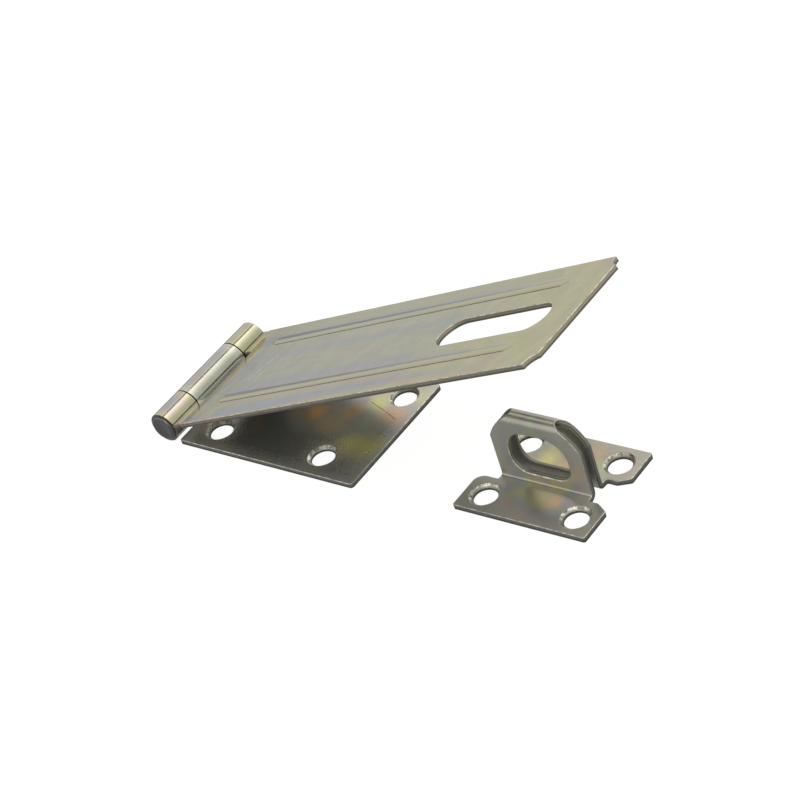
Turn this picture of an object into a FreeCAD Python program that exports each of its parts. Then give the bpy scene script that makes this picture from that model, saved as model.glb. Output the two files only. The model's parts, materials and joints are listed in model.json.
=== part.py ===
import FreeCAD, Part
import math
import os

os.makedirs("parts", exist_ok=True)

# Safety hasp with a separate staple: a base leaf screwed to the door, a long
# slotted strap hinged to it, the hinge pin, and a folded staple for the padlock.
# Units are millimetres. +X runs from the hinge towards the staple, +Y along the
# hinge pin, +Z out of the mounting surface. The origin is on the mounting plane,
# midway between the base leaf's four screw holes.

# Sheet steel
LEAF_T = 1.5
STRAP_T = 1.5
STAPLE_T = 1.6

# Hinge barrel, rolled from the sheet
BARREL_R = 4.5
BORE_R = BARREL_R - STRAP_T
PIN_CLEARANCE = 0.05
PIN_R = BORE_R - PIN_CLEARANCE
AXIS_Z = BARREL_R
MID_KNUCKLE_Y0 = -10.0
MID_KNUCKLE_Y1 = 11.0
KNUCKLE_GAP = 0.3
BARREL_HALF = 20.8
CURL_SEAM_GAP = 0.1

# Pin heads
HEAD_R = 3.8
HEAD_H = 0.65
HEAD_CHAMFER = 0.3

# Base leaf
LEAF_W = 42.0
LEAF_END_X = 64.7
LEAF_CUTBACK_X = 4.5
LEAF_CORNER_R = 1.0
LEAF_HOLE_X = (13.7, 49.6)
LEAF_HOLE_Y = 13.7
LEAF_ROW_SHIFT = 7.9

# Countersunk screw holes, for 8.3 mm flat screw heads
HOLE_R = 3.25
CSK_R = 4.15

# Strap
STRAP_W = 42.0
STRAP_END_X = 147.9
STRAP_TOP = 0.45
STRAP_OPEN_DEG = 21.3
TURN_DEG = -20.0
SHOULDER_X = 6.8
SHOULDER_R = 0.9
NOTCH_X = 8.9
NOTCH_R = 1.8
BITE_X = 149.3
BITE_Y = 20.9
BITE_R = 4.0

# Slot that drops over the staple
SLOT_X0 = 98.8
SLOT_X1 = 137.7
SLOT_HALF = 5.4

# Two stiffening ribs pressed up out of the strap, one each side of the slot
RIB_Y_NEAR = -11.85
RIB_Y_FAR = 13.6
RIB_X0 = 16.5
RIB_X1 = 135.0
RIB_HALF = 1.95
RIB_TOP_HALF = 1.3
RIB_H = 0.4
RIB_RAMP = 2.2

# Staple
STAPLE_X = 115.9
STAPLE_Y = -2.45
FLANGE_HALF_X = 20.0
FLANGE_EDGE_Y = 16.4
FLANGE_BACK_Y = 4.2
FLANGE_BACK_R = 3.0
FLANGE_CLIP_X = 3.4
FLANGE_CLIP_Y = 2.0
FLANGE_CLIP_R = 0.8
FLANGE_CORNER_R = 0.6
STAPLE_HOLE_X = 13.8
STAPLE_HOLE_Y = 10.4
LOOP_GAP = 1.7
LOOP_TOP_Z = 22.2
LOOP_HALF_X = 13.7
LOOP_FLAT_HALF_X = 6.8
LOOP_SHOULDER_Z = 14.6
LOOP_BULGE_X = 10.8
LOOP_BULGE_Z = 18.95
LOOP_BEND_R = 0.6

# Padlock eye through both walls of the loop
EYE_HALF_X = 8.9
EYE_Z0 = 4.3
EYE_Z1 = 17.2
EYE_LOW_R = 4.7
EYE_HIGH_R = 6.3
EYE_LIP = 0.25

# The row's origin, measured from a point on the mounting plane under the pin
ORIGIN_X = sum(LEAF_HOLE_X) / 2.0 + LEAF_ROW_SHIFT / 2.0


def point(x, y, z):
    return FreeCAD.Vector(x, y, z)


def box(x0, x1, y0, y1, z0, z1):
    corner = point(x0, y0, z0)
    return Part.makeBox(x1 - x0, y1 - y0, z1 - z0, corner)


def cylinder(radius, height, base, axis):
    return Part.makeCylinder(radius, height, base, axis)


def join(first, others):
    """Fuse touching solids into one and drop the seams between them."""
    return first.fuse(others).removeSplitter()


def polar(centre, radius, degrees):
    """Point in the XZ plane at an angle above +X."""
    turn = math.radians(degrees)
    return point(centre[0] + radius * math.cos(turn), 0,
                 centre[1] + radius * math.sin(turn))


def arc_band(centre, inner, outer, start, end):
    """Flat curved band in the XZ plane, the cross-section of rolled sheet."""
    middle = (start + end) / 2.0
    edges = [
        Part.Arc(polar(centre, outer, start), polar(centre, outer, middle),
                 polar(centre, outer, end)).toShape(),
        Part.makeLine(polar(centre, outer, end), polar(centre, inner, end)),
        Part.Arc(polar(centre, inner, end), polar(centre, inner, middle),
                 polar(centre, inner, start)).toShape(),
        Part.makeLine(polar(centre, inner, start), polar(centre, outer, start)),
    ]
    return Part.Face(Part.Wire(edges))


def swept(face, y0, y1):
    """Sweep an XZ face along the pin direction from y0 to y1."""
    moved = face.copy()
    moved.translate(point(0, y0, 0))
    return moved.extrude(point(0, y1 - y0, 0))


def round_upright(solid, places, radius):
    """Round the edges along Z that stand at the given (x, y) places."""
    chosen = []
    for edge in solid.Edges:
        low = edge.BoundBox
        if low.ZLength < 0.5 or low.XLength > 0.01 or low.YLength > 0.01:
            continue
        for x, y in places:
            if math.hypot(low.XMin - x, low.YMin - y) < 0.02:
                chosen.append(edge)
    return solid.makeFillet(radius, chosen)


def screw_hole(x, y, top_z):
    """Cutting tool for one countersunk hole whose rim lies at top_z."""
    depth = CSK_R - HOLE_R
    up = point(0, 0, 1)
    shaft = cylinder(HOLE_R, top_z + 2.0, point(x, y, -1.0), up)
    cone = Part.makeCone(HOLE_R, CSK_R + 0.5, depth + 0.5,
                         point(x, y, top_z - depth), up)
    return shaft.fuse(cone)


def obround(x0, x1, y, half, z):
    """Wire of a slot shape with round ends, lying flat at height z."""
    left = x0 + half
    right = x1 - half
    edges = [
        Part.makeLine(point(left, y - half, z), point(right, y - half, z)),
        Part.Arc(point(right, y - half, z), point(x1, y, z),
                 point(right, y + half, z)).toShape(),
        Part.makeLine(point(right, y + half, z), point(left, y + half, z)),
        Part.Arc(point(left, y + half, z), point(x0, y, z),
                 point(left, y - half, z)).toShape(),
    ]
    return Part.Wire(edges)


def leaf_hole_places():
    """Screw holes of the base leaf: two rows of two, one row set further out."""
    places = []
    for x in LEAF_HOLE_X:
        places.append((x, -LEAF_HOLE_Y))
        places.append((x + LEAF_ROW_SHIFT, LEAF_HOLE_Y))
    return places


def make_base_leaf():
    """Flat plate with a middle knuckle rolled up from its hinge edge."""
    half = LEAF_W / 2.0
    plate = box(LEAF_CUTBACK_X, LEAF_END_X, -half, half, 0, LEAF_T)
    ends = [(LEAF_END_X, -half), (LEAF_END_X, half)]
    plate = round_upright(plate, ends, LEAF_CORNER_R)
    neck = box(0, LEAF_CUTBACK_X, MID_KNUCKLE_Y0, MID_KNUCKLE_Y1, 0, LEAF_T)
    drop = AXIS_Z - LEAF_T - CURL_SEAM_GAP
    curl_end = -math.degrees(math.asin(drop / BARREL_R))
    centre = (0, AXIS_Z)
    curl = arc_band(centre, BORE_R, BARREL_R, curl_end, 270.0)
    knuckle = swept(curl, MID_KNUCKLE_Y0, MID_KNUCKLE_Y1)
    leaf = join(plate, [neck, knuckle])
    for x, y in leaf_hole_places():
        leaf = leaf.cut(screw_hole(x, y, LEAF_T))
    return leaf


def strap_bend():
    """Radius and centre of the reverse bend between the roll and the plate."""
    middle_r = BARREL_R - STRAP_T / 2.0
    plate_middle = STRAP_TOP - STRAP_T / 2.0
    heading = math.radians(90.0 + TURN_DEG)
    start_x = middle_r * math.cos(math.radians(TURN_DEG))
    start_z = middle_r * math.sin(math.radians(TURN_DEG))
    radius = (plate_middle - start_z) / (1.0 - math.cos(heading))
    centre = (start_x + radius * math.sin(heading),
              start_z - radius * math.cos(heading))
    return radius, centre


def strap_knuckle(y0, y1):
    """One outer knuckle, its reverse bend and the strip joining the plate."""
    radius, centre = strap_bend()
    inner = radius - STRAP_T / 2.0
    outer = radius + STRAP_T / 2.0
    curl_end = math.degrees(math.asin(STRAP_TOP / BARREL_R))
    roll = arc_band((0, 0), BORE_R, BARREL_R, curl_end, 360.0 + TURN_DEG)
    bend = arc_band(centre, inner, outer, 90.0, 180.0 + TURN_DEG)
    strip = box(centre[0], NOTCH_X, y0, y1, STRAP_TOP - STRAP_T, STRAP_TOP)
    return join(swept(roll, y0, y1), [swept(bend, y0, y1), strip])


def notch_sides():
    """Where the outer knuckles stop, clear of the middle knuckle's ends."""
    return MID_KNUCKLE_Y0 - KNUCKLE_GAP, MID_KNUCKLE_Y1 + KNUCKLE_GAP


def strap_plate():
    """Long plate with bitten end corners and a notch for the middle knuckle."""
    half = STRAP_W / 2.0
    low = STRAP_TOP - STRAP_T
    plate = box(SHOULDER_X, STRAP_END_X, -half, half, low, STRAP_TOP)
    shoulders = [(SHOULDER_X, -half), (SHOULDER_X, half)]
    plate = round_upright(plate, shoulders, SHOULDER_R)
    notch_y0, notch_y1 = notch_sides()
    notch = box(0, NOTCH_X, notch_y0, notch_y1, low - 1, STRAP_TOP + 1)
    corners = [(NOTCH_X, notch_y0), (NOTCH_X, notch_y1)]
    plate = plate.cut(round_upright(notch, corners, NOTCH_R))
    for side in (-1, 1):
        bite = cylinder(BITE_R, STRAP_T + 2, point(BITE_X, side * BITE_Y, low - 1),
                        point(0, 0, 1))
        plate = plate.cut(bite)
    return plate


def rib_form(y, base_z, shrink):
    """Raised rib with sloping sides and ends, standing on base_z."""
    foot = obround(RIB_X0, RIB_X1, y, RIB_HALF - shrink, base_z)
    crown = obround(RIB_X0 + RIB_RAMP, RIB_X1 - RIB_RAMP, y,
                    RIB_TOP_HALF - shrink, base_z + RIB_H)
    return Part.makeLoft([foot, crown], True, True)


def press_ribs(plate):
    """Push both ribs up out of the plate, hollow on the underside."""
    low = STRAP_TOP - STRAP_T
    for y in (RIB_Y_NEAR, RIB_Y_FAR):
        plate = plate.fuse(rib_form(y, STRAP_TOP, 0.0))
        plate = plate.cut(rib_form(y, low, 0.3))
    return plate.removeSplitter()


def make_strap():
    """Slotted strap with two outer knuckles, swung open about the pin."""
    strap = press_ribs(strap_plate())
    slot_wire = obround(SLOT_X0, SLOT_X1, 0, SLOT_HALF, STRAP_TOP - STRAP_T - 1)
    slot = Part.Face(slot_wire).extrude(point(0, 0, STRAP_T + 2))
    strap = strap.cut(slot)
    notch_y0, notch_y1 = notch_sides()
    knuckles = [strap_knuckle(-BARREL_HALF, notch_y0),
                strap_knuckle(notch_y1, BARREL_HALF)]
    strap = join(strap, knuckles)
    strap.rotate(point(0, 0, 0), point(0, 1, 0), -STRAP_OPEN_DEG)
    strap.translate(point(0, 0, AXIS_Z))
    return strap


def pin_head(side):
    """Flat head with a bevelled rim, closing one end of the barrel."""
    start = BARREL_HALF + PIN_CLEARANCE
    axis = point(0, side, 0)
    straight = HEAD_H - HEAD_CHAMFER
    disc = cylinder(HEAD_R, straight, point(0, side * start, AXIS_Z), axis)
    rim = Part.makeCone(HEAD_R, HEAD_R - HEAD_CHAMFER, HEAD_CHAMFER,
                        point(0, side * (start + straight), AXIS_Z), axis)
    return disc.fuse(rim)


def make_hinge_pin():
    """Plain pin through all three knuckles with a head at each end."""
    start = BARREL_HALF + PIN_CLEARANCE
    shank = cylinder(PIN_R, 2 * start, point(0, -start, AXIS_Z), point(0, 1, 0))
    return join(shank, [pin_head(-1), pin_head(1)])


def loop_outline():
    """Outline of the upright loop seen along the pin direction."""
    top = LOOP_TOP_Z
    shoulder = LOOP_SHOULDER_Z
    wide = LOOP_HALF_X
    flat = LOOP_FLAT_HALF_X
    bulge_x = LOOP_BULGE_X
    bulge_z = LOOP_BULGE_Z
    edges = [
        Part.makeLine(point(-wide, 0, -1), point(wide, 0, -1)),
        Part.makeLine(point(wide, 0, -1), point(wide, 0, shoulder)),
        Part.Arc(point(wide, 0, shoulder), point(bulge_x, 0, bulge_z),
                 point(flat, 0, top)).toShape(),
        Part.makeLine(point(flat, 0, top), point(-flat, 0, top)),
        Part.Arc(point(-flat, 0, top), point(-bulge_x, 0, bulge_z),
                 point(-wide, 0, shoulder)).toShape(),
        Part.makeLine(point(-wide, 0, shoulder), point(-wide, 0, -1)),
    ]
    return Part.Face(Part.Wire(edges))


def eye_outline(grow, y):
    """Outline of the padlock eye, rounder at the top, at one y position."""
    wide = EYE_HALF_X + grow
    low = EYE_Z0 - grow
    high = EYE_Z1 + grow
    r_low = EYE_LOW_R + grow
    r_high = EYE_HIGH_R + grow
    bend = math.sqrt(0.5)
    corners = [(1, low, r_low, 1), (1, high, r_high, -1),
               (-1, high, r_high, -1), (-1, low, r_low, 1)]
    ends = []
    for side, z, radius, up in corners:
        centre_x = side * (wide - radius)
        centre_z = z + up * radius
        level = point(centre_x, y, z)
        upright = point(side * wide, y, centre_z)
        middle = point(centre_x + side * bend * radius, y,
                       centre_z - up * bend * radius)
        if side * up > 0:
            ends.append((level, middle, upright))
        else:
            ends.append((upright, middle, level))
    edges = []
    for index, (first, middle, last) in enumerate(ends):
        edges.append(Part.Arc(first, middle, last).toShape())
        following = ends[(index + 1) % len(ends)][0]
        edges.append(Part.makeLine(last, following))
    return Part.Wire(edges)


def loop_strip():
    """Folded strip of the loop: two bends, two walls and the round top."""
    wall_in = LOOP_GAP / 2.0
    wall_out = wall_in + STAPLE_T
    bend_out = LOOP_BEND_R + STAPLE_T
    crown_z = LOOP_TOP_Z - wall_out
    foot_y = wall_out + LOOP_BEND_R
    foot_z = bend_out
    wide = LOOP_HALF_X
    pieces = []
    for side in (-1, 1):
        y0, y1 = sorted((side * wall_in, side * wall_out))
        pieces.append(box(-wide, wide, y0, y1, foot_z, crown_z))
        whole = cylinder(bend_out, 2 * wide, point(-wide, side * foot_y, foot_z),
                         point(1, 0, 0))
        hollow = cylinder(LOOP_BEND_R, 2 * wide, point(-wide, side * foot_y, foot_z),
                          point(1, 0, 0))
        y0, y1 = sorted((side * wall_in, side * foot_y))
        corner = box(-wide, wide, y0, y1, 0, foot_z)
        pieces.append(whole.cut(hollow).common(corner))
    whole = cylinder(wall_out, 2 * wide, point(-wide, 0, crown_z), point(1, 0, 0))
    hollow = cylinder(wall_in, 2 * wide, point(-wide, 0, crown_z), point(1, 0, 0))
    upper = box(-wide, wide, -wall_out, wall_out, crown_z, LOOP_TOP_Z)
    pieces.append(whole.cut(hollow).common(upper))
    return join(pieces[0], pieces[1:])


def staple_flange(side):
    """One screw flange with the narrower neck that runs into the loop."""
    inner = LOOP_GAP / 2.0 + STAPLE_T + LOOP_BEND_R
    wide = FLANGE_HALF_X
    back = side * FLANGE_BACK_Y
    edge = side * FLANGE_EDGE_Y
    clip_start = (wide - FLANGE_CLIP_X, back)
    clip_end = (wide, back + side * FLANGE_CLIP_Y)
    corners = [(-wide, back), clip_start, clip_end, (wide, edge), (-wide, edge)]
    points = [point(x, y, 0) for x, y in corners]
    outline = Part.makePolygon(points + points[:1])
    flange = Part.Face(outline).extrude(point(0, 0, STAPLE_T))
    flange = round_upright(flange, [(-wide, back)], FLANGE_BACK_R)
    flange = round_upright(flange, [clip_start, clip_end], FLANGE_CLIP_R)
    flange = round_upright(flange, [(wide, edge), (-wide, edge)], FLANGE_CORNER_R)
    y0, y1 = sorted((side * inner, side * FLANGE_BACK_Y))
    neck = box(-LOOP_HALF_X, LOOP_HALF_X, y0, y1, 0, STAPLE_T)
    return flange.fuse(neck)


def eye_tool():
    """Cutting tool for the eye, flared where it opens on each outer face."""
    wall_out = LOOP_GAP / 2.0 + STAPLE_T
    straight = Part.Face(eye_outline(0.0, -wall_out - 1))
    tool = straight.extrude(point(0, 2 * wall_out + 2, 0))
    for side in (-1, 1):
        mouth = eye_outline(EYE_LIP + 0.5, side * (wall_out + 0.5))
        throat = eye_outline(0.0, side * (wall_out - EYE_LIP))
        tool = tool.fuse(Part.makeLoft([mouth, throat], True, True))
    return tool


def make_staple():
    """One strip of sheet folded into a padlock loop between two flanges."""
    outline = swept(loop_outline(), -10, 10)
    loop = loop_strip().common(outline)
    staple = join(loop, [staple_flange(-1), staple_flange(1)])
    staple = staple.cut(eye_tool())
    for x in (-STAPLE_HOLE_X, STAPLE_HOLE_X):
        for y in (-STAPLE_HOLE_Y, STAPLE_HOLE_Y):
            staple = staple.cut(screw_hole(x, y, STAPLE_T))
    staple.translate(point(STAPLE_X, STAPLE_Y, 0))
    return staple


def write_part(name, shape):
    """Shift a piece to the row's origin and save it as one solid."""
    shape.translate(point(-ORIGIN_X, 0, 0))
    solid = shape.Solids[0]
    solid.exportStep("parts/" + name + ".step")
    bounds = solid.BoundBox
    print(name, len(shape.Solids), solid.isValid(), round(solid.Volume, 1),
          [round(value, 2) for value in
           (bounds.XMin, bounds.XMax, bounds.YMin, bounds.YMax,
            bounds.ZMin, bounds.ZMax)])


write_part("base_leaf", make_base_leaf())
write_part("strap", make_strap())
write_part("hinge_pin", make_hinge_pin())
write_part("staple", make_staple())
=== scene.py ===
import json
import math

import bmesh
import bpy
import numpy as np
from mathutils import Matrix, Vector, geometry, kdtree


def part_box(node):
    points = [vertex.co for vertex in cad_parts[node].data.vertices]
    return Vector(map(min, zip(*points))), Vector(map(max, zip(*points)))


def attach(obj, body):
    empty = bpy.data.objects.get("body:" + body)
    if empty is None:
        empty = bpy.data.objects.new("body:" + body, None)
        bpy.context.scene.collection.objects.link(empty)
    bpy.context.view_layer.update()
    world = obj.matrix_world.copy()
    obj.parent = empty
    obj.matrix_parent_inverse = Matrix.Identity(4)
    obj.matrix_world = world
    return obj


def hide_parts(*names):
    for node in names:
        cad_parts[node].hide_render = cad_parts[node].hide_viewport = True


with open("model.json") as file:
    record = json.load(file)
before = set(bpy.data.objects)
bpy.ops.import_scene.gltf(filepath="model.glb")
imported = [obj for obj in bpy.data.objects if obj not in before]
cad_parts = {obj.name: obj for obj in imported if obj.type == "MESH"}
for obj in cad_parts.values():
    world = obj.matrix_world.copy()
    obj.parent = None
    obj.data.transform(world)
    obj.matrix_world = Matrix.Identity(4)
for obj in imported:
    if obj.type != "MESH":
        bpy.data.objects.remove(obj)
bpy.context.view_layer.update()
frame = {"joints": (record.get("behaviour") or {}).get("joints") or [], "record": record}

# A safety hasp in zinc plated sheet. Each sheet piece is drawn as a flat blank with
# rounded, sheared edges, and is then rolled or folded into shape. Sizes on a blank are
# in millimetres. On a hinge blank x is the distance from the pin's axis, towards the
# far end of the leaf or strap. Depth is measured down from the blank's upper face.
MM = 0.001
JOINTS = {joint["name"]: joint for joint in frame["joints"]}
MOUNTS = {mount["name"]: mount for mount in frame["record"]["mounts"]}


def to_mm(values):
    return [value / MM for value in values]


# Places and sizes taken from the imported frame
AXIS_X, _, AXIS_Z = to_mm(JOINTS["strap_hinge"]["pos_m"])
OPEN_ANGLE = -math.radians(JOINTS["strap_hinge"]["range_deg"][0])
_, LEAF_HIGH = [to_mm(corner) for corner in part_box("base_leaf")]
PIN_LOW, PIN_HIGH = [to_mm(corner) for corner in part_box("hinge_pin")]
_, STAPLE_HIGH = [to_mm(corner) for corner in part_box("staple")]
BARREL_R = AXIS_Z
HALF_WIDTH = LEAF_HIGH[1]
LEAF_END = LEAF_HIGH[0] - AXIS_X
STAPLE_X, STAPLE_Y, _ = to_mm(MOUNTS["staple_screws"]["pos_m"])
HOLE_R = MOUNTS["staple_screws"]["dims"]["hole_r_mm"]

# Sheet thickness, countersunk rims, edges and rolls
SHEET = 1.5
STAPLE_SHEET = 1.6
RIM_R = 4.15
EDGE_ROLL = 0.22
BORE_R = BARREL_R - SHEET
ROLL_R = BARREL_R - SHEET / 2

# Mesh: room kept clear of points at a sharp corner, twice the least area of a triangle,
# spacing of points along the edges, angles beyond which an edge is drawn sharp, and the
# number of sides of the pin
CORNER_ROOM = 0.42
SLIVER = 2e-4
HINGE_STEP = 0.4
STAPLE_STEP = 0.35
SHEET_CREASE = math.radians(38)
PIN_CREASE = math.radians(30)
PIN_SIDES = 96

# Knuckles
MID_Y0 = -10.0
MID_Y1 = 11.0
KNUCKLE_GAP = 0.3
BARREL_HALF = 20.8
LEAF_CUTBACK = 4.5
LEAF_CURL = math.radians(310.1)

# Strap blank
STRAP_END = 147.9
PLATE_TOP = 0.45
TURN = math.radians(20.0)
STRAP_CURL = math.radians(334.3)
SHOULDER_X = 6.8
NOTCH_X = 8.9
NOTCH_R = 1.8
BITE = (149.3, 20.9, 4.0)
SLOT = (98.8, 137.7, 5.4)
RIB_Y = (-11.85, 13.6)
RIB_X = (16.5, 135.0)
RIB_HALF = 1.95
RIB_H = 0.20
RIB_NEAR_STEP = 1.1
RIB_END_STEP = 0.9
RIB_FAR_STEP = 1.9

# A thin dark line of painted shade, as in a pressed fold, lies the first of these distances in from each
# rib's near side and stops the second short of its ends
RIB_SHADE_LINE_INSET = 0.25
RIB_TIP = 1.5

# Staple blank
FLANGE_HALF_X = 20.0
FLANGE_EDGE = 16.4
FLANGE_BACK = 4.2
FLANGE_BACK_R = 3.0
FLANGE_CLIP = (3.4, 2.0, 0.8)
LOOP_HALF_GAP = 0.85
LOOP_TOP = STAPLE_HIGH[2]
LOOP_HALF_X = 13.7
LOOP_FLAT_X = 6.8
LOOP_SHOULDER = 14.6
LOOP_BULGE = (10.8, 18.95)
FOLD_R = 0.6
EYE_HALF_X = 8.9
EYE_Z = (4.3, 17.2)
EYE_R = (4.7, 6.3)
EYE_LIP = 0.25


# ---------------------------------------------------------------- outlines

def arc(centre, radius, start, end, step=0.35):
    """Points along an arc; angles are in degrees and may run either way."""
    count = max(3, math.ceil(abs(math.radians(end - start)) * radius / step))
    turns = np.radians(np.linspace(start, end, count + 1))
    return [(centre[0] + radius * math.cos(t), centre[1] + radius * math.sin(t)) for t in turns]


def rounded(corners):
    """Closed outline through (x, y, radius) corners, each corner rounded by an arc."""
    points = []
    for index, (x, y, radius) in enumerate(corners):
        before = Vector(corners[index - 1][:2])
        after = Vector(corners[(index + 1) % len(corners)][:2])
        here = Vector((x, y))
        if radius == 0:
            points.append((x, y))
            continue
        to_before = (before - here).normalized()
        to_after = (after - here).normalized()
        half = to_before.angle(to_after) / 2
        reach = radius / math.tan(half)
        start = here + to_before * reach
        end = here + to_after * reach
        centre = here + (to_before + to_after).normalized() * (radius / math.sin(half))
        first = math.atan2(start.y - centre.y, start.x - centre.x)
        last = math.atan2(end.y - centre.y, end.x - centre.x)
        sweep = (last - first + math.pi) % (2 * math.pi) - math.pi
        points += arc(centre, radius, math.degrees(first), math.degrees(first + sweep), 0.2)
    return points


def spaced(outline, step):
    """The closed outline with long stretches split to at most one step."""
    points = []
    for index, start in enumerate(outline):
        end = outline[(index + 1) % len(outline)]
        length = math.dist(start, end)
        if length < 1e-6:
            continue
        count = max(1, math.ceil(length / step))
        for k in range(count):
            share = k / count
            points.append((start[0] + (end[0] - start[0]) * share,
                           start[1] + (end[1] - start[1]) * share))
    return clear_corners(np.array(points))


def clear_corners(points):
    """Drop points too close to a sharp corner, where the edge section's rings would cross."""
    before = points - np.roll(points, 1, 0)
    after = np.roll(points, -1, 0) - points
    turn = before[:, 0] * after[:, 1] - before[:, 1] * after[:, 0]
    turn /= np.linalg.norm(before, axis=1) * np.linalg.norm(after, axis=1)
    sharp = np.abs(turn) > 0.6
    gap = np.linalg.norm(points[:, None] - points[sharp][None], axis=2)
    near = (gap < CORNER_ROOM).any(1)
    return points[~near | sharp]


def circle(x, y, radius):
    """Hole outline, run clockwise so that the sheet lies on its left."""
    return arc((x, y), radius, 360, 0, 0.25)[:-1]


def obround(x0, x1, radius):
    """Slot outline with round ends, run clockwise."""
    left = arc((x0 + radius, 0), radius, 270, 90)
    right = arc((x1 - radius, 0), radius, 90, -90)
    return left + right


def inward(outline):
    """Mitred unit direction into the sheet at every point of an outline."""
    along = np.roll(outline, -1, 0) - outline
    along /= np.linalg.norm(along, axis=1)[:, None]
    side = np.stack([-along[:, 1], along[:, 0]], 1)
    mean = side + np.roll(side, 1, 0)
    mean /= np.linalg.norm(mean, axis=1)[:, None]
    spread = np.clip((mean * side).sum(1), 0.5, 1)
    return mean / spread[:, None]


def inside(points, outline):
    """Which points lie inside a closed outline, by crossing count."""
    x, y = points[:, 0][:, None], points[:, 1][:, None]
    x0, y0 = outline[:, 0], outline[:, 1]
    x1, y1 = np.roll(x0, -1), np.roll(y0, -1)
    crosses = (y0 > y) != (y1 > y)
    rise = np.where(y1 == y0, 1e-12, y1 - y0)
    at = x0 + (y - y0) * (x1 - x0) / rise
    return (crosses & (x < at)).sum(1) % 2 == 1


# ---------------------------------------------------------------- sheet builder

def sheared_edge(sheet):
    """Edge section of a blanked sheet: rolled over above, torn and sharp below."""
    section = [(EDGE_ROLL + 0.12, 0.0)]
    for k in range(11):
        turn = math.radians(9 * k)
        section.append((EDGE_ROLL * (1 - math.sin(turn)), EDGE_ROLL * (1 - math.cos(turn))))
    section += [(0.0, sheet * 0.45), (0.02, sheet * 0.6), (0.0, sheet - 0.16)]
    section += [(0.03, sheet - 0.05), (0.09, sheet), (0.2, sheet)]
    return section


def sunk_edge(sheet, width):
    """Edge section of a countersunk hole or a flared eye."""
    section = [(width + 0.2, 0.0), (width + 0.06, 0.0), (width + 0.02, 0.015), (width - 0.03, 0.06)]
    section += [(width / 2, width / 2), (0.04, width - 0.03), (0.0, width + 0.04)]
    section += [(0.0, sheet - 0.1), (0.03, sheet - 0.03), (0.1, sheet), (0.2, sheet)]
    return section


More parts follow.
